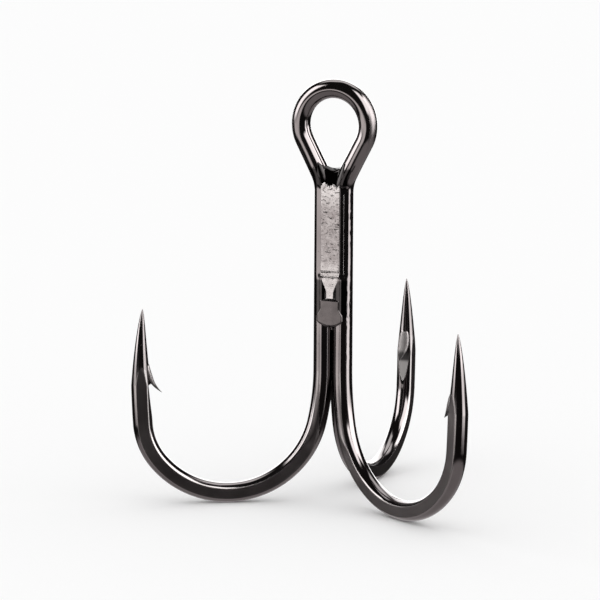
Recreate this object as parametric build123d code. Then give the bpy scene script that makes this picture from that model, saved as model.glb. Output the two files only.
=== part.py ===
from build123d import *
from math import acos, atan2, cos, degrees, pi, radians, sin
import os

os.makedirs("parts", exist_ok=True)

# A treble fishing hook: two bent steel wires held together by brazing metal.
# The origin is the centre of the round part of the eye. +Z runs up the shank to the eye.
# The eye lies in the XZ plane. The hooks point out at 210, -30 and 90 degrees.

# Driving dimensions, in millimetres and degrees.
WIRE_R = 0.82  # radius of the round wire
WIRE_GAP = 0.10  # brazed gap between neighbouring wires
EYE_R = 2.98  # centreline radius of the round top of the eye
NECK_R = 3.19  # centreline radius where the eye runs into the shank
NECK_DROP = 5.51  # from the eye's centre down to the end of the neck
SHANK_END = 20.42  # from the eye's centre down to the start of the bends
BEND_ARCS = ((20.75, 12.5), (7.60, 127.6), (5.75, 36.2))  # radius and turn, from the shank out
LEG_R = 75.0  # the slight inward curve of the leg that carries the point
LEG_LENGTH = 9.6  # from the end of the bend to the tip
POINT_LENGTH = 5.8  # the ground and tapered part of the leg
HOOK_ANGLES = {"left": 210.0, "right": -30.0, "back": 90.0}

BARB_TOP = 4.3  # from the tip down to where the barb leaves the wire
BARB_END = 7.0  # from the tip down to the barb's own tip
BARB_REACH = 1.75  # from the leg's centreline in to the barb's tip
BARB_WIDTH = 0.95  # across the wire

FORGE_HALF = 0.69  # from a hook's own plane to the flats forged on both sides of its bend
FORGE_START = 1.6  # from the shank wire out to where the flats begin

SINGLE_TOP = 4.6  # from the eye's centre down to the cut end of the single wire
WEB_TOP = 3.6  # from the eye's centre down to the hollow of the web of braze in the neck
WEB_HALF = 0.45  # half the thickness of that web
WEB_HOLLOW_R = 0.5  # the round hollow in the web's top
BRAZE_TOP = 5.6  # from the eye's centre down to the top of the braze in the grooves
BRAZE_END = 17.0  # from the eye's centre down to the bottom of the braze
PRESS_TOP = 5.1  # from the eye's centre down to the top of the pressed flat
PRESS_END = 12.3  # from the eye's centre down to the bottom of the pressed flat
PRESS_DEPTH = 0.78  # from the eye's plane to the pressed flat
FILLET_DEPTH = 0.50  # from the line of two wire centres to the middle of a hollow fillet

SPACING = 2 * WIRE_R + WIRE_GAP  # between neighbouring wire centres
LEG_X = SPACING / 2  # each leg of the double wire from the middle
BUNDLE_R = SPACING / (2 * cos(radians(30)))  # each wire from the bundle's own axis
BUNDLE_Y = LEG_X * sin(radians(30)) / cos(radians(30))  # the bundle's axis behind the eye's plane


def radial(name):
    """The unit vector that a hook points along."""
    angle = radians(HOOK_ANGLES[name])
    return Vector(cos(angle), sin(angle), 0)


def in_hook(name, s, z):
    """A point of a hook's own plane: s out from its shank wire, z up."""
    return Vector(0, BUNDLE_Y, z) + radial(name) * (BUNDLE_R + s)


def bend_path(name):
    """The centreline of one hook, from the end of the shank to the foot of the point."""
    s, z, turned = 0.0, -SHANK_END, 0.0
    leg_turn = degrees((LEG_LENGTH - POINT_LENGTH) / LEG_R)
    edges = []
    for radius, turn in BEND_ARCS + ((LEG_R, leg_turn),):
        stops = []
        for part in (0.0, 0.5, 1.0):
            a0, a1 = radians(turned), radians(turned + turn * part)
            out = s + radius * (cos(a0) - cos(a1))
            up = z - radius * (sin(a1) - sin(a0))
            stops.append((out, up))
        edges.append(ThreePointArc(*[in_hook(name, *stop) for stop in stops]))
        s, z = stops[-1]
        turned += turn
    heading = radial(name) * sin(radians(turned)) + Vector(0, 0, -cos(radians(turned)))
    return edges, in_hook(name, s, z), heading


def point_plane(name):
    """A plane on the tip of one hook: x in towards the shank, y down the leg."""
    foot, heading = bend_path(name)[1:]
    across = radial(name).cross(Vector(0, 0, 1))
    inward = across.cross(heading)
    if inward.dot(radial(name)) > 0:
        inward = inward * -1
    tip = foot + heading * POINT_LENGTH
    return Plane(origin=tip, x_dir=inward, z_dir=inward.cross(heading * -1))


def ground_point(name):
    """The tapered point, turned about the leg's centreline."""
    middle = (WIRE_R * 0.62, POINT_LENGTH / 2)
    outline = ThreePointArc((0.0, 0.0), middle, (WIRE_R, POINT_LENGTH))
    outline += Polyline((WIRE_R, POINT_LENGTH), (0.0, POINT_LENGTH), (0.0, 0.0))
    return revolve(point_plane(name) * make_face(outline), axis=Axis(point_plane(name).origin,
                                                                     point_plane(name).y_dir))


def barb(name):
    """The sliver raised from the inner side of the leg, and the scoop cut below it."""
    reach = BARB_REACH - WIRE_R
    sliver = Polyline((0.2, BARB_TOP),
                      (WIRE_R * 0.85, BARB_TOP),
                      (WIRE_R + reach * 0.30, BARB_END - 1.0),
                      (BARB_REACH, BARB_END),
                      (WIRE_R + reach * 0.45, BARB_END - 0.25),
                      (WIRE_R * 0.76, BARB_END - 0.5),
                      (0.2, BARB_END - 0.5),
                      close=True)
    scoop = Polyline((WIRE_R * 0.76, BARB_END - 0.5),
                     (WIRE_R + reach, BARB_END - 0.5),
                     (WIRE_R + reach, BARB_END + 1.9),
                     (WIRE_R, BARB_END + 1.9),
                     close=True)
    raised = extrude(point_plane(name) * make_face(sliver), amount=BARB_WIDTH / 2, both=True)
    cut = extrude(point_plane(name) * make_face(scoop), amount=WIRE_R * 1.2, both=True)
    return raised, cut


def along(path):
    """Round wire swept along a centreline."""
    wire = Wire(path)
    section = Plane(origin=wire @ 0, z_dir=wire % 0) * Circle(WIRE_R)
    return sweep(section, path=wire)


def forge_slabs(name):
    """What the forging takes off each side of a hook's bend and leg."""
    length, height, thick = 20.0, 30.0, 1.0
    out = BUNDLE_R + FORGE_START + length / 2
    side = FORGE_HALF + thick / 2
    slabs = Pos(out, side, 0) * Box(length, thick, height) + Pos(out, -side, 0) * Box(length, thick, height)
    return Pos(0, BUNDLE_Y, -SHANK_END) * Rot(0, 0, HOOK_ANGLES[name]) * slabs


def finish_hook(wire, name):
    """Adds a hook's point to its wire, flattens its sides, and cuts its barb."""
    raised, cut = barb(name)
    return (wire + ground_point(name)) - forge_slabs(name) - cut + raised


def eye_edges():
    """The teardrop eye: a round top and two sides that run into the neck."""
    neck_x, neck_z = LEG_X + NECK_R, -NECK_DROP
    reach = (neck_x ** 2 + neck_z ** 2) ** 0.5
    lean = atan2(neck_z, neck_x) + acos((EYE_R + NECK_R) / reach)
    side = Vector(cos(lean), 0, sin(lean))
    top, neck = side * EYE_R, Vector(neck_x, 0, neck_z) - side * NECK_R
    mid = (lean + pi + pi) / 2
    neck_mid = Vector(neck_x, 0, neck_z) + Vector(cos(mid), 0, sin(mid)) * NECK_R
    shank_top = Vector(LEG_X, 0, -NECK_DROP)

    def left(point):
        return Vector(-point.X, 0, point.Z)

    right_side = [Line(top, neck), ThreePointArc(neck, neck_mid, shank_top)]
    left_side = [ThreePointArc(left(shank_top), left(neck_mid), left(neck)), Line(left(neck), left(top))]
    return left_side + [ThreePointArc(left(top), (0, 0, EYE_R), top)] + right_side


def shank_line(x, y, top):
    """One straight run of wire in the shank."""
    return Line((x, y, -top), (x, y, -SHANK_END))


def double_hook_wire():
    """One wire: left hook, shank, eye, shank, right hook."""
    path = bend_path("left")[0] + [shank_line(-LEG_X, 0, NECK_DROP)] + eye_edges()
    path += [shank_line(LEG_X, 0, NECK_DROP)] + bend_path("right")[0]
    wire = finish_hook(finish_hook(along(path), "left"), "right")
    height = PRESS_END - PRESS_TOP
    press = Pos(0, -PRESS_DEPTH - 1, -PRESS_TOP - height / 2) * Box(4 * WIRE_R + 1, 2, height)
    return wire - press


def neck_web(wire):
    """The web of braze between the two sides of the neck, with a round hollow in its top."""
    height = BRAZE_TOP - WEB_TOP + WEB_HOLLOW_R
    block = Pos(0, 0, -BRAZE_TOP + height / 2) * Box(2 * LEG_X, 2 * WEB_HALF, height)
    hollow = Pos(0, 0, -WEB_TOP + WEB_HOLLOW_R) * Rot(90, 0, 0) * Cylinder(WEB_HOLLOW_R, 2)
    return (block - wire - hollow).solids().sort_by(lambda solid: solid.volume)[-1]


def single_hook_wire():
    """The third hook, whose shank lies in the groove behind the double wire."""
    path = [shank_line(0, BUNDLE_Y + BUNDLE_R, SINGLE_TOP)] + bend_path("back")[0]
    return finish_hook(along(path), "back")


def wire_centres():
    """The middles of the three shank wires, in plan."""
    return [(-LEG_X, 0.0), (LEG_X, 0.0), (0.0, BUNDLE_Y + BUNDLE_R)]


def less_wires(sketch):
    """A plan outline with the three round wires taken out of it."""
    for x, y in wire_centres():
        sketch -= Pos(x, y) * Circle(WIRE_R)
    return sketch


def groove(depth):
    """The outline of the filled front groove, hollowed if depth is below the wire's own radius."""
    width = LEG_X
    edge = (WIRE_R ** 2 - (LEG_X - width * 0.35) ** 2) ** 0.5
    if depth >= PRESS_DEPTH:
        outline = Polyline((-width, 0), (-width, -depth), (width, -depth), (width, 0), close=True)
    else:
        outline = Polyline((-width * 0.35, -edge), (-width, -0.1), (-width, 0), (width, 0),
                           (width, -0.1), (width * 0.35, -edge))
        outline += ThreePointArc((width * 0.35, -edge), (0, -depth), (-width * 0.35, -edge))
    return less_wires(make_face(outline))


def braze_run(sketch, top, end):
    """A plan outline drawn down the shank."""
    return extrude(Pos(0, 0, -end) * sketch, amount=end - top)


def braze_fillet_front(wire):
    """Brazing metal in the front groove and the neck: pressed flat above, hollow below."""
    upper = braze_run(groove(PRESS_DEPTH), BRAZE_TOP, PRESS_END)
    lower = braze_run(groove(FILLET_DEPTH), PRESS_END, BRAZE_END)
    return upper + lower + neck_web(wire)


def braze_fillet_rear(turn):
    """Brazing metal in one of the two rear grooves."""
    run = braze_run(groove(FILLET_DEPTH), BRAZE_TOP, BRAZE_END)
    return Pos(0, BUNDLE_Y, 0) * Rot(0, 0, turn) * Pos(0, -BUNDLE_Y, 0) * run


def braze_core():
    """Brazing metal in the three-cornered channel between the three wires."""
    return braze_run(less_wires(make_face(Polyline(*wire_centres(), close=True))), BRAZE_TOP, BRAZE_END)


DOUBLE_WIRE = double_hook_wire()
NODES = {
    "double_hook_wire": DOUBLE_WIRE,
    "single_hook_wire": single_hook_wire(),
    "braze_fillet_front": braze_fillet_front(DOUBLE_WIRE),
    "braze_fillet_left": braze_fillet_rear(-120),
    "braze_fillet_right": braze_fillet_rear(120),
    "braze_core": braze_core(),
}

for node, shape in NODES.items():
    export_step(shape, "parts/" + node + ".step")
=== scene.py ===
import math

import bmesh
import bpy
import numpy as np
from mathutils import Matrix, Vector, noise


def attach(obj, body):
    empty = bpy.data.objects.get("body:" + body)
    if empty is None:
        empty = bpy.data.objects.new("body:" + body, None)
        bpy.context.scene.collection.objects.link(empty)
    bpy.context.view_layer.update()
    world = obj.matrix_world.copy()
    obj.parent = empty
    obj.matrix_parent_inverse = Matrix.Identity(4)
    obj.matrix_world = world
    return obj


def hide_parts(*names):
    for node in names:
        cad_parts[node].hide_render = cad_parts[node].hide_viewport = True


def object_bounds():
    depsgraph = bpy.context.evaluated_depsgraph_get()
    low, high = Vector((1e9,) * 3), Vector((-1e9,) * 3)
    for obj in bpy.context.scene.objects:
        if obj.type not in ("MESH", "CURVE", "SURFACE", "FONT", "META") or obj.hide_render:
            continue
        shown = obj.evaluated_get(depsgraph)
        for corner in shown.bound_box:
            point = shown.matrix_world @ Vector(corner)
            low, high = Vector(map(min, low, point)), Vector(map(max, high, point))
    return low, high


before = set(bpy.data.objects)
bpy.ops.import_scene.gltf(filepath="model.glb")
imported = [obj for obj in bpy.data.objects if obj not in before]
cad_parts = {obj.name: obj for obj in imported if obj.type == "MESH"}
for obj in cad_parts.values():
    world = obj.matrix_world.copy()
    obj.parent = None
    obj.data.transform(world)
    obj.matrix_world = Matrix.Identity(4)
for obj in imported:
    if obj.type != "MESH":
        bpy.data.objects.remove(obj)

cad_low, cad_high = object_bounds()

# The object is a treble hook: two bent wires and the braze between them, under black nickel plating.
# Lengths below are millimetres in the row frame, and MM turns them into Blender's metres.
MM = 0.001

# Sizes shared with the CAD.
WIRE_R = 0.82
WIRE_GAP = 0.10
EYE_R = 2.98
NECK_R = 3.19
NECK_DROP = 5.51
SHANK_END = 20.42
BEND_ARCS = ((20.75, 12.5), (7.60, 127.6), (5.75, 36.2))
LEG_R = 75.0
LEG_LENGTH = 9.6
SINGLE_TOP = 4.6
BRAZE_END = 17.0
PRESS_TOP = 5.1
PRESS_END = 12.3
PRESS_DEPTH = 0.78
FORGE_HALF = 0.69
HOOK_ANGLES = {"left": 210.0, "right": -30.0, "back": 90.0}
LEG_X = WIRE_R + WIRE_GAP / 2
BUNDLE_R = LEG_X / math.cos(math.radians(30))
BUNDLE_Y = LEG_X * math.tan(math.radians(30))

# Finer sizes that only the looks need. Heights are distances down from the eye's centre.
EYE_WIRE_R = 0.785  # the wire is a little thinner round the eye, where it was bent
POINT_TAPER = 6.4  # from the tip down to the full wire
POINT_POWER = 0.68  # how the ground point swells from its tip
TIP_R = 0.012
DRAWN_HEIGHT = 0.0008  # the faint lines that drawing leaves along the wire
SCOOP_TOP, SCOOP_END, SCOOP_DEPTH = 6.35, 9.3, 0.24
FORGE_ROUND = 0.02  # how much wider than the wire the forged flats begin
SCRATCH_DEPTH = 0.02  # more than this off the round wire counts as cut or lifted
LEG_OUT = 8.0  # beyond this far from the shank, a wire is a leg or a point
WEB_TOP, WEB_ROWS_END = 3.58, 5.4
PANEL_HALF = 0.82  # half the width of the brightest strip of the pressed flat
PANEL_DEPTH = 0.80
PRESS_FADE = 0.5  # the pressed flat runs out over this height
PRESS_RINGS = (12.16, 12.62)  # two shallow lines that the edge of the press left
VALLEY_TOP, VALLEY_END, VALLEY_NARROWS = 12.4, 14.1, 0.56
DROP_TOP, DROP_FULL, DROP_WIDENS = 14.40, 14.62, 0.50
DROP_BULGE, DROP_END = 0.08, 16.92
WINDOW_TOP, WINDOW_END = 12.75, 16.0  # where painted shade darkens beside the valley and the drop
FRONT_HALF = 1.18  # half the width of the front braze's mesh
COVER = 0.015  # how far the hidden edge of a braze lies under the wire's surface
SEAM_ANGLE, SEAM_HALF, SEAM_HEIGHT = math.radians(-33), 0.45, 0.012  # a bead of braze on the right shank
RING = 96  # points round a wire
STEP = 0.11  # along a wire
FINE_STEP = 0.07  # along a point


def unit(degrees):
    """A level unit vector at that angle in the row frame."""
    return np.array([math.cos(math.radians(degrees)), math.sin(math.radians(degrees)), 0.0])


def smooth(edge0, edge1, value):
    """0 below edge0, 1 above edge1, and a smooth rise between."""
    t = np.clip((np.asarray(value, float) - edge0) / (edge1 - edge0), 0.0, 1.0)
    return t * t * (3 - 2 * t)


def soft_min(a, b, k):
    """The smaller of a and b, with the corner rounded over k."""
    h = np.clip(0.5 + 0.5 * (b - a) / k, 0.0, 1.0)
    return b + (a - b) * h - k * h * (1 - h)


def ripple(point, size, seed=0.0):
    """Smooth noise from -1 to 1 at a point in millimetres."""
    return noise.noise(Vector((point[0], point[1], point[2] + 31.7 * seed)) / size)


# ---------------------------------------------------------------- centrelines


def arc_stations(s, z, turned, radius, turn, step):
    """Points along one arc of a hook, as out, up and heading. The first point is left out."""
    count = max(2, int(round(radius * math.radians(turn) / step)))
    rows = []
    for i in range(1, count + 1):
        a0, a1 = math.radians(turned), math.radians(turned + turn * i / count)
        out, down = math.cos(a0) - math.cos(a1), math.sin(a1) - math.sin(a0)
        rows.append((s + radius * out, z - radius * down, a1))
    return rows


def hook_stations():
    """One hook in its own plane, from the end of the shank to the tip."""
    rows = [(0.0, -SHANK_END, 0.0)]
    for radius, turn in BEND_ARCS:
        s, z, heading = rows[-1]
        rows += arc_stations(s, z, math.degrees(heading), radius, turn, STEP)
    s, z, heading = rows[-1]
    rows += arc_stations(s, z, math.degrees(heading), LEG_R, math.degrees(LEG_LENGTH / LEG_R), FINE_STEP)
    return rows


def hook_line(name):
    """Centre, tangent, side normal and distance from the tip, from the shank out to the tip."""
    out = unit(HOOK_ANGLES[name])
    side = {"left": unit(300), "right": unit(240), "back": unit(0)}[name]
    base = np.array([0.0, BUNDLE_Y, 0.0])
    rows = hook_stations()
    centres = [base + out * (BUNDLE_R + s) + np.array([0.0, 0.0, z]) for s, z, heading in rows]
    tangents = [out * math.sin(h) + np.array([0.0, 0.0, -math.cos(h)]) for s, z, h in rows]
    left = 0.0
    from_tip = [0.0]
    for a, b in zip(centres[:0:-1], centres[-2::-1]):
        left += float(np.linalg.norm(b - a))
        from_tip.append(left)
    line = []
    for centre, tangent, t, (s, z, heading) in zip(centres, tangents, from_tip[::-1], rows):
        line.append({"c": centre, "t": tangent, "n": side, "tip": t, "out": s, "hook": name})
    return line


def shank_line(x, y, top, angle_top, angle_end):
    """A straight run of wire down to the bends. Its side normal turns slowly about the wire."""
    count = int((SHANK_END - top) / STEP)
    line = []
    for i in range(count):
        f = i / count
        side = unit(angle_top + (angle_end - angle_top) * float(smooth(0.1, 0.9, f)))
        z = -top - (SHANK_END - top) * f
        line.append({"c": np.array([x, y, z]), "t": np.array([0.0, 0.0, -1.0]), "n": side, "tip": 99.0,
                     "out": -1.0, "hook": None})
    return line


def eye_side():
    """The right half of the teardrop eye, from its top down to the shank, as x, z and tangent."""
    neck_x, neck_z = LEG_X + NECK_R, -NECK_DROP
    reach = math.hypot(neck_x, neck_z)
    lean = math.atan2(neck_z, neck_x) + math.acos((EYE_R + NECK_R) / reach)
    rows = []
    count = int(EYE_R * (math.pi / 2 - lean) / STEP)
    for i in range(count + 1):
        a = math.pi / 2 + (lean - math.pi / 2) * i / count
        rows.append((EYE_R * math.cos(a), EYE_R * math.sin(a), math.sin(a), -math.cos(a)))
    start = (EYE_R * math.cos(lean), EYE_R * math.sin(lean))
    end = (neck_x - NECK_R * math.cos(lean), neck_z - NECK_R * math.sin(lean))
    count = int(math.dist(start, end) / STEP)
    for i in range(1, count):
        x = start[0] + (end[0] - start[0]) * i / count
        z = start[1] + (end[1] - start[1]) * i / count
        rows.append((x, z, math.sin(lean), -math.cos(lean)))
    turn = lean
    count = int(NECK_R * -turn / STEP)
    for i in range(count):
        a = math.pi + lean - turn * i / count
        rows.append((neck_x + NECK_R * math.cos(a), neck_z + NECK_R * math.sin(a), -math.sin(a), math.cos(a)))
    return rows


def eye_line():
    """The whole eye, from the left shank up and over to the right shank."""
    right = []
    for x, z, tx, tz in eye_side():
        tangent = np.array([tx, 0.0, tz])
        if tz > 0:
            tangent = -tangent
        right.append({"c": np.array([x, 0.0, z]), "t": tangent, "n": unit(270), "tip": 99.0, "out": -1.0,
                      "hook": None})
    left = []
    for row in right[:0:-1]:
        mirrored = dict(row)
        mirrored["c"] = row["c"] * np.array([-1, 1, 1])
        mirrored["t"] = row["t"] * np.array([1, 1, -1])
        left.append(mirrored)
    return left + right


def turned_round(line):
    """The same line, travelled the other way."""
    flipped = []
    for row in line[::-1]:
        other = dict(row)
        other["t"] = -row["t"]
        flipped.append(other)
    return flipped


# ---------------------------------------------------------------- wires


def wire_radius(row):
    """The round radius of the wire at one station."""
    if row["tip"] < POINT_TAPER:
        return max(TIP_R, WIRE_R * (row["tip"] / POINT_TAPER) ** POINT_POWER)
    return WIRE_R + (EYE_WIRE_R - WIRE_R) * float(smooth(-5.5, -2.5, row["c"][2]))


def torn(x, seed=0.0):
    """How far up or down the torn edge of the braze is at x."""
    broad, fine = noise.noise(Vector((x * 2.6, 3.1, seed))), noise.noise(Vector((x * 8.0, 7.7, seed)))
    return 0.40 * broad + 0.34 * (0.35 - abs(fine))


def panel_top(x):
    """The height of the pressed panel's torn upper edge at x."""
    return -PRESS_TOP + 0.1 + torn(x)


def in_press(z):
    """1 where the press flattened the shank, down to 0 below it."""
    return smooth(-PRESS_END - PRESS_FADE, -PRESS_END, z)


def in_valley(z):
    """0 on the panel, and up to 1 where the valley below it is narrowest."""
    return float(smooth(-VALLEY_TOP, -VALLEY_END, z))


def in_drop(z):
    """0 above the drop at the braze's lower end, and 1 on it."""
    return float(smooth(-DROP_TOP, -DROP_FULL, z))


def flat_depth(x):
    """How far the pressed flat stands out at x. It rolls over toward the right."""
    right = np.clip(x - PANEL_HALF, 0, None)
    return PRESS_DEPTH - 0.04 * np.clip(-x - PANEL_HALF, 0, None) - 0.17 * right - 0.30 * right ** 2


def pressed(points):
    """The flat that the braze press leaves on the front of the shank."""
    x, y, z = points.T
    top = np.array([panel_top(value) for value in x])
    inside = in_press(z) * (1 - smooth(top, top + 0.12, z))
    flat = -soft_min(-y, flat_depth(x), 0.03)
    return np.stack([x, y + (flat - y) * inside, z], axis=1)


def seam_height(angle, z):
    """The ragged bead of braze that ran down the outside of the right shank."""
    along = (0.35 + 0.65 * smooth(-17.0, -15.8, z)) * smooth(-22.0, -19.0, z) * (1 - smooth(-5.6, -5.1, z))
    within = 1 - smooth(0.6 * SEAM_HALF, SEAM_HALF, np.abs(angle - SEAM_ANGLE))
    rough = [0.5 + ripple((2.0 * a, 0.0, z), 0.3) + 0.7 * ripple((1.5 * a, 5.0, z), 0.2) for a in angle]
    return SEAM_HEIGHT * along * within * np.array(rough)


def wire_ring(row):
    """One ring of points round a wire, with its flats and its barb's scoop."""
    radius = wire_radius(row)
    across = np.cross(row["t"], row["n"])
    angle = np.linspace(0, 2 * math.pi, RING, endpoint=False)
    b, n = radius * np.cos(angle), radius * np.sin(angle)
    if row["hook"]:
        forged = float(smooth(0.6, 1.6, row["out"]))
        limit = WIRE_R + FORGE_ROUND - (WIRE_R + FORGE_ROUND - FORGE_HALF) * forged
        n = np.sign(n) * soft_min(np.abs(n), limit, 0.03)
        if SCOOP_TOP < row["tip"] < SCOOP_END:
            deep = SCOOP_DEPTH * (1 - (row["tip"] - SCOOP_TOP) / (SCOOP_END - SCOOP_TOP))
            b = np.maximum(b, deep - WIRE_R)
    ring = row["c"] + b[:, None] * across + n[:, None] * row["n"]
    if row["hook"] or abs(row["t"][2]) < 0.99:
        return ring
    if row["c"][0] > 0.1:
        away = ring - row["c"]
        height = seam_height(np.arctan2(away[:, 1], away[:, 0]), row["c"][2])
        ring = ring + away / np.linalg.norm(away, axis=1)[:, None] * height[:, None]
    return pressed(ring)


def tube(name, line):
    """A closed mesh swept along a line of stations, with a cap at each end."""
    rings = [wire_ring(row) for row in line]
    points = np.concatenate(rings + [line[0]["c"][None], line[-1]["c"][None]]) * MM
    last = (len(rings) - 1) * RING
    faces = []
    for i in range(len(rings) - 1):
        for j in range(RING):
            k = (j + 1) % RING
            faces.append((i * RING + j, i * RING + k, (i + 1) * RING + k, (i + 1) * RING + j))
    for j in range(RING):
        k = (j + 1) % RING
        faces.append((k, j, len(points) - 2))
        faces.append((last + j, last + k, len(points) - 1))
    return piece(name, points, faces)


def piece(name, points, faces):
    """A mesh object with its faces turned outward and smooth."""
    mesh = bpy.data.meshes.new(name)
    mesh.from_pydata([tuple(p) for p in points], [], faces)
    shape = bmesh.new()
    shape.from_mesh(mesh)
    bmesh.ops.recalc_face_normals(shape, faces=shape.faces)
    shape.to_mesh(mesh)
    shape.free()
    mesh.shade_smooth()
    obj = bpy.data.objects.new(name, mesh)
    bpy.context.scene.collection.objects.link(obj)
    return obj


# ---------------------------------------------------------------- barbs

# The middle of the barb's tongue, from inside the wire to its tip: in towards the shank, down from the
# hook's tip, half its width, half its thickness.
BARB_STATIONS = (
    (0.30, 4.10, 0.10, 0.10),
    (0.42, 4.60, 0.30, 0.20),
    (0.55, 5.15, 0.44, 0.24),
    (0.72, 5.65, 0.47, 0.24),
    (0.95, 6.12, 0.42, 0.18),
    (1.20, 6.47, 0.31, 0.12),
    (1.48, 6.76, 0.17, 0.06),
    (1.77, 7.00, 0.02, 0.012),
)


def point_frame(name):
    """The tip, the way down the leg, the way in to the shank and the side normal of one hook."""
    line = hook_line(name)
    tip, foot = line[-1], next(row for row in line if row["tip"] < 6.0)
    down = (foot["c"] - tip["c"]) / np.linalg.norm(foot["c"] - tip["c"])
    inward = np.cross(down, tip["n"])
    if inward @ unit(HOOK_ANGLES[name]) > 0:
        inward = -inward
    return tip["c"], down, inward, tip["n"]


def spline(rows, count):
    """Catmull-Rom points through rows, with the ends repeated."""
    knots = np.array([rows[0]] + list(rows) + [rows[-1]], float)
    points = []
    for i in range(1, len(knots) - 2):
        for j in range(count):
            t = j / count
            p0, p1, p2, p3 = knots[i - 1:i + 3]
            points.append(0.5 * (2 * p1 + (p2 - p0) * t + (2 * p0 - 5 * p1 + 4 * p2 - p3) * t ** 2
                                 + (3 * p1 - p0 - 3 * p2 + p3) * t ** 3))
    return points + [knots[-1]]


def barb_tongue(name):
    """The tongue that the barb chisel lifts, as a closed mesh."""
    tip, down, inward, side = point_frame(name)
    rows = spline(BARB_STATIONS, 5)
    around = 28
    points, faces = [], []
    for i, (u, t, wide, thick) in enumerate(rows):
        before, after = rows[max(0, i - 1)], rows[min(len(rows) - 1, i + 1)]
        run = np.array([after[0] - before[0], after[1] - before[1]])
        run = run / np.linalg.norm(run)
        lift = inward * run[1] - down * run[0]
        centre = tip + inward * u + down * t
        for j in range(around):
            a = 2 * math.pi * j / around
            rise = math.copysign(abs(math.sin(a)) ** 0.6, math.sin(a))
            points.append((centre + side * wide * math.cos(a) + lift * thick * rise) * MM)
    for i in range(len(rows) - 1):
        for j in range(around):
            k = (j + 1) % around
            faces.append((i * around + j, i * around + k, (i + 1) * around + k, (i + 1) * around + j))
    faces.append(tuple(range(around))[::-1])
    faces.append(tuple(range((len(rows) - 1) * around, len(rows) * around)))
    return piece("barb_" + name, points, faces)


def joined(base, others):
    """Others are united with base and removed."""
    for other in others:
        union = base.modifiers.new("union", "BOOLEAN")
        union.operation, union.solver, union.object = "UNION", "EXACT", other
        graph = bpy.context.evaluated_depsgraph_get()
        mesh = bpy.data.meshes.new_from_object(base.evaluated_get(graph))
        base.modifiers.clear()
        old, base.data = base.data, mesh
        bpy.data.meshes.remove(old)
        bpy.data.objects.remove(other)
    base.data.name = base.name
    base.data.shade_smooth()
    base.data.set_sharp_from_angle(angle=math.radians(38))
    return base


def double_wire():
    """One wire: left hook, shank, eye, shank, right hook."""
    line = turned_round(hook_line("left"))[:-1]
    line += turned_round(shank_line(-LEG_X, 0.0, NECK_DROP, 270, 300))[:-1]
    line += eye_line()[:-1]
    line += shank_line(LEG_X, 0.0, NECK_DROP, 270, 240)
    line += hook_line("right")
    return joined(tube("double_wire", line), [barb_tongue("left"), barb_tongue("right")])


def single_wire():
    """The third hook."""
    line = shank_line(0.0, BUNDLE_Y + BUNDLE_R, SINGLE_TOP, 0, 0) + hook_line("back")
    return joined(tube("single_wire", line), [barb_tongue("back")])


# ---------------------------------------------------------------- braze


def fillet_arc(x, a, centre, radius):
    """How far a hollow fillet stands out at x, between two round wires at +-centre. a is its middle."""
    r = (centre ** 2 + a ** 2 - radius ** 2) / (2 * np.maximum(radius - a, 1e-3))
    mid = a + r
    touch = centre - radius * centre / (radius + r)
    arc = mid - np.sqrt(np.maximum(r ** 2 - x ** 2, 0))
    wire = np.sqrt(np.maximum(radius ** 2 - (np.abs(x) - centre) ** 2, 0)) - COVER
    return np.where(np.abs(x) < touch, arc, wire)


def neck_centre(z):
    """How far each wire's centre is from the middle at height z in the neck."""
    rows = [(row[1], row[0]) for row in eye_side() if row[1] < 0]
    heights, reach = zip(*sorted(rows))
    return np.interp(z, (-99.0,) + heights, (LEG_X,) + reach)


def web_lift(x, z):
    """The bottom of the eye's hole is round, so the web's rows rise toward the wires."""
    return 0.42 * x * x * float(smooth(-4.9, -3.7, z))


def web_surface(x, z):
    """How far the web between the necks of the eye stands out at x, z."""
    rim = float(smooth(-4.05, -WEB_TOP, z))
    slope = 0.75 - 0.20 * max(0.0, z + 5.0)
    return slope * math.sqrt(max(0.0, 1 - rim * rim)) * (1 - 0.06 * x * x)


def under_press(depth, x, z):
    """The same depth, but held just under the pressed flat where there is one."""
    return depth - float(in_press(z)) * max(0.0, depth + 0.02 - float(flat_depth(x)))


def front_surface(x, z):
    """How far the front braze stands out from the eye's plane at x, z."""
    centre = neck_centre(z)
    across = abs(x)
    wire = math.sqrt(max(WIRE_R ** 2 - (across - centre) ** 2, 0)) - COVER
    if z > panel_top(x):
        return max(web_surface(x, z), wire * (1 - float(smooth(-3.7, -WEB_TOP, z))))
    wire = under_press(wire, x, z)
    hollow = 0.60 - 0.3 * float(smooth(-16.4, -17.0, z))
    groove = under_press(float(fillet_arc(x, hollow, centre, WIRE_R)), x, z)
    valley, drop = in_valley(z), in_drop(z)
    half = PANEL_HALF - VALLEY_NARROWS * valley + DROP_WIDENS * drop + 0.28 * float(smooth(-15.2, -15.9, z))
    depth = PANEL_DEPTH - 0.01 * valley + DROP_BULGE * drop
    depth -= 0.010 * sum(math.exp(-((z + ring) / 0.05) ** 2) for ring in PRESS_RINGS)
    hammered = (1 - drop) * (1 - 0.7 * valley)
    depth += hammered * (0.009 * ripple((x, 0.0, z), 0.24) + 0.004 * ripple((x, 4.0, z), 0.12))
    shoulder = 0.12 + 0.30 * valley - 0.20 * drop
    tail = -DROP_END + 0.42 * (x / 1.15) ** 2
    end = math.sqrt(1 - float(smooth(tail + 0.35, tail, z)) ** 2)
    plate = depth - 0.5 * (max(across - half, 0) / shoulder) ** 2
    plate = wire - 0.1 + (plate - wire + 0.1) * end
    return max(groove, plate, wire)


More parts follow.
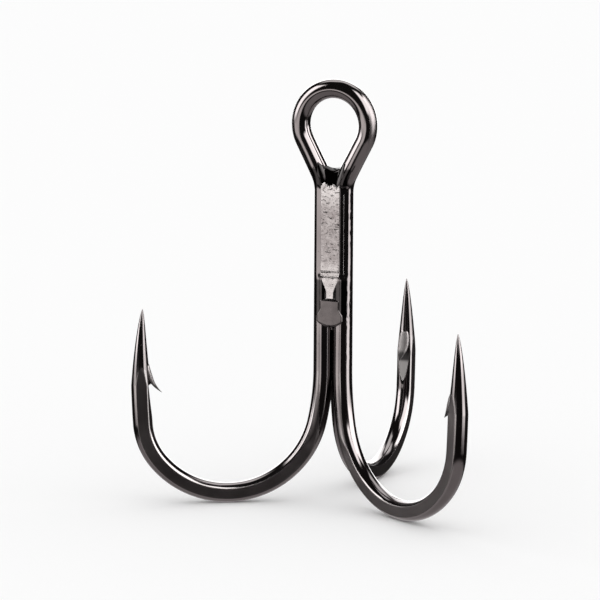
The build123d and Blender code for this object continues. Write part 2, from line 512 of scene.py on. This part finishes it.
def groove_solid(name, heights, columns, front, back, lift=lambda x, z: 0.0):
    """A closed solid between a front and a back surface, row by row down the shank."""
    rows, cols = len(heights), len(columns)
    points = []
    for surface in (front, back):
        for z in heights:
            for x in columns:
                points.append((x * MM, surface(x, z) * MM, (z + lift(x, z)) * MM))
    faces = []
    half = rows * cols
    for i in range(rows - 1):
        for j in range(cols - 1):
            a = i * cols + j
            faces.append((a, a + 1, a + cols + 1, a + cols))
            faces.append((half + a, half + a + cols, half + a + cols + 1, half + a + 1))
    for i in range(rows - 1):
        for j in (0, cols - 1):
            a = i * cols + j
            faces.append((a, a + cols, half + a + cols, half + a))
    for j in range(cols - 1):
        for i in (0, rows - 1):
            a = i * cols + j
            faces.append((a, a + 1, half + a + 1, half + a))
    return piece(name, points, faces)


def front_braze():
    """The braze in the front groove, the neck's web and the drop at the bottom."""
    heights = np.concatenate([np.linspace(-WEB_TOP, -WEB_ROWS_END, 76), np.linspace(-5.45, -12.0, 131),
                              np.linspace(-12.03, -17.1, 170)])
    columns = np.linspace(-FRONT_HALF, FRONT_HALF, 95)

    def front(x, z):
        return -float(front_surface(x, z))

    def back(x, z):
        inner = -0.9 * math.sqrt(max(WIRE_R ** 2 - (abs(x) - float(neck_centre(z))) ** 2, 0))
        mix = float(smooth(-5.7, -5.3, z))
        return inner + (0.75 * web_surface(x, z) - inner) * mix

    obj = groove_solid("front_braze", heights, columns, front, back, web_lift)
    for face in obj.data.polygons:
        x, y, z = face.center / MM
        face.material_index = 1 if z > panel_top(x) else 0
    return obj


def rear_braze(name, turn):
    """The hollow fillet in one rear groove."""
    heights = np.linspace(-5.5, -BRAZE_END, 90)
    columns = np.linspace(-0.6, 0.6, 25)

    def front(x, z):
        ends = float(smooth(-5.5, -6.2, z)) * float(1 - smooth(-16.2, -BRAZE_END, z))
        wave = 0.03 * noise.noise(Vector((turn, 0.0, z * 0.7)))
        return -float(fillet_arc(x, 0.22 + (0.30 + wave) * ends ** 0.5, LEG_X, WIRE_R))

    def back(x, z):
        return -0.05 * (1 - abs(x) / 0.7)

    obj = groove_solid(name, heights, columns, front, back)
    middle = Vector((0, BUNDLE_Y * MM, 0))
    spin = Matrix.Rotation(math.radians(turn), 4, "Z")
    obj.data.transform(Matrix.Translation(middle) @ spin @ Matrix.Translation(-middle))
    return obj


# ---------------------------------------------------------------- materials

# Near black, painted over the plating: painted shade in the neck's web, beside the valley and under each
# barb's tongue, and a darker drop.
DARKENED_COLOUR = (0.012, 0.011, 0.011, 1)


def mark(obj, name, values):
    """One number for each point of a piece, for its material to read."""
    attribute = obj.data.attributes.new(name, "FLOAT", "POINT")
    attribute.data.foreach_set("value", np.asarray(values, np.float32))


def mark_braze(obj):
    """Painted highlight on the pressed flat, most at its ends; painted shade in the web and beside the
    valley; a darker drop.
    """
    bright, darkened = [], []
    for vertex in obj.data.vertices:
        x, y, z = vertex.co / MM
        # Painted highlight: the front braze is painted lighter, most near the panel's top and bottom ends,
        # mottled, and not on the drop.
        upper, lower = 1 - float(smooth(0.3, 2.4, -PRESS_TOP - z)), float(smooth(-11.0, -12.3, z))
        ends = 0.20 + 0.45 * upper + 0.40 * lower
        speckle = 0.16 * ripple((x, 1.0, z), 0.4) + 0.14 * ripple((x, 2.0, z), 0.16)
        bright.append(max(0.0, (ends + speckle) * (1 - float(smooth(-DROP_TOP, -14.6, z)))))
        # Painted shade: the windows beside the valley and the neck's web above the panel's torn edge are
        # darkened.
        half = PANEL_HALF - VALLEY_NARROWS * in_valley(z)
        beside = float(smooth(half, half + 0.08, abs(x))) * float(smooth(-WINDOW_TOP, -12.95, z))
        # The drop at the braze's lower end is painted darker, mottled, and a little darker to its right.
        drop_dark = 0.55 + 0.09 * float(smooth(0.1, 0.35, x)) + 0.10 * ripple((x, 3.0, z), 0.45)
        darkened.append(max(0.92 * beside * (1 - in_drop(z)), drop_dark * in_drop(z), 0.95 * (z > panel_top(x))))
    mark(obj, "bare_metal_and_highlight", bright)
    mark(obj, "darkened", darkened)


def mark_hook(points, name, satin, bright, darkened):
    """One hook's satin flats, a painted highlight beside them, its rough sharpened tip, the cut and lifted
    metal of its barb, and painted shadow there.
    """
    tip, down, inward, side = point_frame(name)
    away = points - tip
    below, off = away @ down, np.abs(away @ side)
    out = (points - np.array([0.0, BUNDLE_Y, 0.0])) @ unit(HOOK_ANGLES[name])
    here = (out > BUNDLE_R + 0.4) & (off < 1.3)
    leg = here & (out > LEG_OUT)
    satin = np.where(here, smooth(FORGE_HALF - 0.035, FORGE_HALF - 0.01, off), satin)
    # Painted highlight: a lighter band along the rounded rims beside the flats, away from the tip.
    edge = smooth(0.05, 0.02, np.abs(off - FORGE_HALF + 0.05))
    bright = np.where(here & (below > 5), 0.30 * edge, bright)
    rows = [row for row in hook_line(name) if row["tip"] < 10.5][::-1]
    depths = [(row["c"] - tip) @ down for row in rows]
    middle = np.interp(below, depths, [(row["c"] - tip) @ inward for row in rows])
    radius = np.interp(below, depths, [wire_radius(row) for row in rows])
    rise = np.hypot(away @ inward - middle, off) - radius
    reached = (below > 3.9) & (below < SCOOP_END) & (off < FORGE_HALF - 0.06)
    cut = leg & (np.abs(rise) > SCRATCH_DEPTH) & reached
    satin = np.where(cut, 2.0, np.where(leg, np.maximum(satin, 1 - smooth(0.4, 2.2, below)), satin))
    bright = np.where(cut, np.where(rise > 0, 0.45 - 0.3 * smooth(0.16, 0.34, off), 1.0), bright)
    # Painted shadow: the scoop under the lifted tongue and the tongue's tip end are darkened.
    darkened = np.where(cut & (rise < 0), 0.9 * smooth(7.35, 7.05, below), darkened)
    darkened = np.where(cut & (rise > 0), 0.8 * smooth(6.1, 6.5, below), darkened)
    return satin, bright, darkened


def mark_wire(obj):
    """How satin each point of a wire is, how much bare metal and painted highlight lighten it, and how much
    painted shade darkens it.
    """
    count = len(obj.data.vertices)
    points = np.empty(count * 3)
    obj.data.vertices.foreach_get("co", points)
    points = points.reshape(-1, 3) / MM
    satin, bright, darkened = np.zeros(count), np.zeros(count), np.zeros(count)
    for name in HOOK_ANGLES:
        satin, bright, darkened = mark_hook(points, name, satin, bright, darkened)
    x, y, z = points.T
    # Painted shade on the wires: where they meet the neck's web, below a torn edge, and on their fronts
    # beside the valley and the drop.
    edge = np.array([torn(value, 4.0) for value in x])
    web = smooth(-3.45 + edge, -3.6 + edge, z) * (1 - smooth(-5.15, -5.3, z))
    web = web * (np.abs(x) < neck_centre(z) + 0.5)
    window = smooth(-WINDOW_TOP, -12.95, z) * (1 - smooth(-15.8, -WINDOW_END, z)) * (np.abs(x) < 1.5)
    darkened += np.where(y < 0.1, 0.95 * web, 0) + np.where(y < -0.3, 0.85 * window, 0)
    mark(obj, "darkened", darkened)
    mark(obj, "satin", satin)
    mark(obj, "bare_metal_and_highlight", bright)


def connect(links, value, socket):
    """Link another node's output to a socket, or set a plain value on it."""
    if isinstance(value, bpy.types.NodeSocket):
        links.new(value, socket)
    else:
        socket.default_value = value


def node(nodes, links, kind, **sockets):
    """One node with its sockets linked or set."""
    made = nodes.new("ShaderNode" + kind)
    for name, value in sockets.items():
        connect(links, value, made.inputs[name.replace("_", " ")])
    return made


def math_node(nodes, links, operation, *values):
    """The result of one Math node."""
    made = nodes.new("ShaderNodeMath")
    made.operation = operation
    for socket, value in zip(made.inputs, values):
        connect(links, value, socket)
    return made.outputs[0]


def colour_mix(nodes, links, factor, first, second):
    """A colour that goes from first to second as factor goes from 0 to 1."""
    made = nodes.new("ShaderNodeMix")
    made.data_type = "RGBA"
    links.new(factor, made.inputs["Factor"])
    connect(links, first, made.inputs[6])
    connect(links, second, made.inputs[7])
    return made.outputs[2]


def point_value(nodes, name):
    """What mark() stored under that name."""
    made = nodes.new("ShaderNodeAttribute")
    made.attribute_name = name
    return made.outputs["Fac"]


def plating(name, dark, light, bright, rough, bump_scale, bump_height):
    """Black nickel: a dark, warm, mirror-like metal with fine waves, faint smears, pits and drawing lines."""
    material = bpy.data.materials.new(name)
    material.use_nodes = True
    nodes, links = material.node_tree.nodes, material.node_tree.links
    shader = nodes["Principled BSDF"]
    shader.inputs["Metallic"].default_value = 1.0
    where = nodes.new("ShaderNodeTexCoord").outputs["Object"]

    smear = node(nodes, links, "TexNoise", Vector=where, Scale=260.0, Detail=5.0).outputs["Fac"]
    tint = node(nodes, links, "ValToRGB", Fac=smear)
    for stop, position, colour in zip(tint.color_ramp.elements, (0.3, 0.7), (dark, light)):
        stop.position, stop.color = position, (*colour, 1)
    bare_metal_and_highlight, darkened = point_value(nodes, "bare_metal_and_highlight"), point_value(nodes, "darkened")
    # Lighter: bare metal where the barbs were cut, and painted highlight on the braze's pressed flat and
    # beside the forged flats.
    colour = colour_mix(nodes, links, bare_metal_and_highlight, tint.outputs["Color"], (*bright, 1))
    # Near black: painted shade in the neck's web, beside the valley and under the barbs' tongues, and a
    # darker drop.
    colour = colour_mix(nodes, links, darkened, colour, DARKENED_COLOUR)
    links.new(colour, shader.inputs["Base Color"])

    cells = node(nodes, links, "TexVoronoi", Vector=where, Scale=1500.0).outputs["Distance"]
    pits = node(nodes, links, "MapRange", Value=cells, From_Min=0.12, From_Max=0.04, To_Min=0.0, To_Max=0.2)
    satin = point_value(nodes, "satin")
    flat = node(nodes, links, "MapRange", Value=satin, From_Max=2.0, To_Max=0.48).outputs["Result"]
    gloss = node(nodes, links, "MapRange", Value=smear, From_Min=0.3, From_Max=0.7, To_Min=rough * 0.8,
                 To_Max=rough * 1.3).outputs["Result"]
    gloss = math_node(nodes, links, "ADD", gloss, flat)
    gloss = math_node(nodes, links, "ADD", gloss, pits.outputs["Result"])
    links.new(gloss, shader.inputs["Roughness"])

    grain = node(nodes, links, "TexNoise", Vector=where, Scale=float(bump_scale), Detail=4.0).outputs["Fac"]
    bump = node(nodes, links, "Bump", Height=grain, Strength=1.0, Distance=bump_height * MM)
    drawn = node(nodes, links, "Mapping", Vector=where, Scale=(1.0, 1.0, 0.04)).outputs["Vector"]
    lines = node(nodes, links, "TexNoise", Vector=drawn, Scale=7000.0, Detail=3.0).outputs["Fac"]
    bump = node(nodes, links, "Bump", Height=lines, Normal=bump.outputs["Normal"], Strength=1.0,
                Distance=DRAWN_HEIGHT * MM)
    links.new(bump.outputs["Normal"], shader.inputs["Normal"])
    return material


# ---------------------------------------------------------------- stage

FLOOR_HALF = 6.0  # metres
WHITE_LEVEL = 1.06  # what the camera and the floor see of the room


def stage_floor(level):
    """A plain pale floor under the hook."""
    corners = ((-1, -1), (1, -1), (1, 1), (-1, 1))
    mesh = bpy.data.meshes.new("floor")
    mesh.from_pydata([(FLOOR_HALF * x, FLOOR_HALF * y, level) for x, y in corners], [], [(0, 1, 2, 3)])
    floor = bpy.data.objects.new("floor", mesh)
    bpy.context.scene.collection.objects.link(floor)
    material = bpy.data.materials.new("floor")
    material.use_nodes = True
    shader = material.node_tree.nodes["Principled BSDF"]
    shader.inputs["Base Color"].default_value = (0.92, 0.92, 0.92, 1)
    shader.inputs["Roughness"].default_value = 0.9
    shader.inputs["Specular IOR Level"].default_value = 0.0
    mesh.materials.append(material)
    floor.visible_glossy = False
    return floor


# What the plating reflects, as boxes of light round the hook: lowest and highest angle to the right of the
# view, lowest and highest angle above the horizon, softness of the edges in degrees, brightness, colour.
WHITE, WARM = (1.0, 1.0, 1.0), (1.0, 0.97, 0.96)
LIGHTS = {
    "left_high": (-112, -66, -2, 42, 5, 9.0, WHITE),
    "front_high": (9, 48, 14, 64, 5, 7.5, WHITE),
    "left_low": (-90, -25, -15, -4, 3, 3.2, WARM),
    "right_high": (47, 100, 0, 52, 5, 10.0, WHITE),
    "right_low": (49, 83, -15, 2, 4, 6.0, WHITE),
    "rear_top": (120, 240, 50, 74, 6, 3.5, WHITE),
    "rear": (156, 206, -8, 40, 5, 4.0, WHITE),
}
SIDE_SEAM = -100.0  # angles to the side run from here, once round
GROUND_GLOW = (0.84, 0.79, 0.80, 1)
GROUND_EDGE = (-31, -22)
WALL_GLOW = (0.035, 0.032, 0.032, 1)


def ramp_between(nodes, links, value, low, high):
    """A smooth rise from 0 to 1 as value goes from low to high."""
    made = node(nodes, links, "MapRange", Value=value, From_Min=low, From_Max=high)
    made.interpolation_type = "SMOOTHSTEP"
    return made.outputs["Result"]


def view_angles(nodes, links):
    """How far to the side of the view and how far above the horizon a direction is, in degrees."""
    where = nodes.new("ShaderNodeTexCoord").outputs["Generated"]
    turn = node(nodes, links, "Mapping", Vector=where, Rotation=(0, 0, math.radians(-VIEW_AZIMUTH)))
    parts = node(nodes, links, "SeparateXYZ", Vector=turn.outputs["Vector"]).outputs
    forward = math_node(nodes, links, "MULTIPLY", parts["Y"], -1.0)
    side = math_node(nodes, links, "ARCTAN2", parts["X"], forward)
    side = math_node(nodes, links, "DEGREES", side)
    behind = math_node(nodes, links, "LESS_THAN", side, SIDE_SEAM)
    side = math_node(nodes, links, "ADD", side, math_node(nodes, links, "MULTIPLY", behind, 360.0))
    rise = math_node(nodes, links, "DEGREES", math_node(nodes, links, "ARCSINE", parts["Z"]))
    return side, rise


def studio_world():
    """A white room for the camera and the floor. The plating reflects dim walls, soft boxes and the floor."""
    world = bpy.data.worlds.new("studio")
    bpy.context.scene.world = world
    world.use_nodes = True
    nodes, links = world.node_tree.nodes, world.node_tree.links
    nodes.clear()

    side, rise = view_angles(nodes, links)
    above = ramp_between(nodes, links, rise, *GROUND_EDGE)
    colour = colour_mix(nodes, links, above, GROUND_GLOW, WALL_GLOW)
    for left, right, low, high, soft, strength, tint in LIGHTS.values():
        inside = ramp_between(nodes, links, side, left - soft, left + soft)
        for angle, start, end in ((side, right + soft, right - soft), (rise, low - soft, low + soft),
                                  (rise, high + soft, high - soft)):
            edge = ramp_between(nodes, links, angle, start, end)
            inside = math_node(nodes, links, "MULTIPLY", inside, edge)
        colour = colour_mix(nodes, links, inside, colour, (*[strength * c for c in tint], 1))

    white = node(nodes, links, "Background", Color=(1, 1, 1, 1), Strength=WHITE_LEVEL)
    boxes = node(nodes, links, "Background", Color=colour)
    rays = nodes.new("ShaderNodeLightPath")
    mix = node(nodes, links, "MixShader", Fac=rays.outputs["Is Glossy Ray"])
    links.new(white.outputs["Background"], mix.inputs[1])
    links.new(boxes.outputs["Background"], mix.inputs[2])
    node(nodes, links, "OutputWorld", Surface=mix.outputs["Shader"])


# The view that shows the hook as it was pictured.
VIEW_AZIMUTH = 23.3
VIEW_ELEVATION = 9.5
VIEW_DISTANCE = 0.283
VIEW_SPAN = 49.9 * MM  # what the frame's side covers at the hook
VIEW_ROLL = 0.3
VIEW_MIDDLE_Z = -15.67
VIEW_SHIFT_RIGHT, VIEW_SHIFT_UP = 2.96, 0.93  # how far the hook stands from the middle of the frame


def stage_camera():
    """The camera, level with the hook and a little above it."""
    a, e = math.radians(VIEW_AZIMUTH), math.radians(VIEW_ELEVATION)
    back = Vector((math.sin(a) * math.cos(e), -math.cos(a) * math.cos(e), math.sin(e)))
    right = Vector((math.cos(a), math.sin(a), 0))
    up = back.cross(right)
    middle = Vector((0, BUNDLE_Y, VIEW_MIDDLE_Z)) * MM
    target = middle - right * VIEW_SHIFT_RIGHT * MM + up * VIEW_SHIFT_UP * MM
    data = bpy.data.cameras.new("camera")
    camera = bpy.data.objects.new("camera", data)
    bpy.context.scene.collection.objects.link(camera)
    data.lens = data.sensor_width * VIEW_DISTANCE / VIEW_SPAN
    data.clip_start, data.clip_end = 0.01, 50
    camera.location = target + back * VIEW_DISTANCE
    camera.rotation_mode = "QUATERNION"
    roll = Matrix.Rotation(math.radians(VIEW_ROLL), 3, "Z").to_quaternion()
    camera.rotation_quaternion = (-back).to_track_quat("-Z", "Y") @ roll
    bpy.context.scene.camera = camera


wires = {"double_hook_wire": double_wire(), "single_hook_wire": single_wire()}
brazes = {
    "braze_fillet_front": front_braze(),
    "braze_fillet_left": rear_braze("left_braze", -120),
    "braze_fillet_right": rear_braze("right_braze", 120),
}
wire_finish = plating("plated_wire_finish", (0.098, 0.088, 0.088), (0.133, 0.121, 0.120),
                      (0.26, 0.25, 0.245), 0.085, 900, 0.002)
braze_finish = plating("plated_braze_finish", (0.108, 0.096, 0.095), (0.145, 0.130, 0.128),
                       (0.36, 0.345, 0.34), 0.17, 5200, 0.006)

for part, obj in wires.items():
    mark_wire(obj)
    obj.data.materials.clear()
    obj.data.materials.append(wire_finish)
    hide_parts(part)
    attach(obj, "root")
mark_braze(brazes["braze_fillet_front"])
for part, obj in brazes.items():
    obj.data.materials.append(braze_finish)
    obj.data.materials.append(wire_finish)
    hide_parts(part)
    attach(obj, "root")
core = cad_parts["braze_core"]
for slot in core.material_slots:
    slot.material = braze_finish

bpy.context.scene.view_settings.view_transform = "Standard"
studio_world()
stage_floor(cad_low.z)
stage_camera()
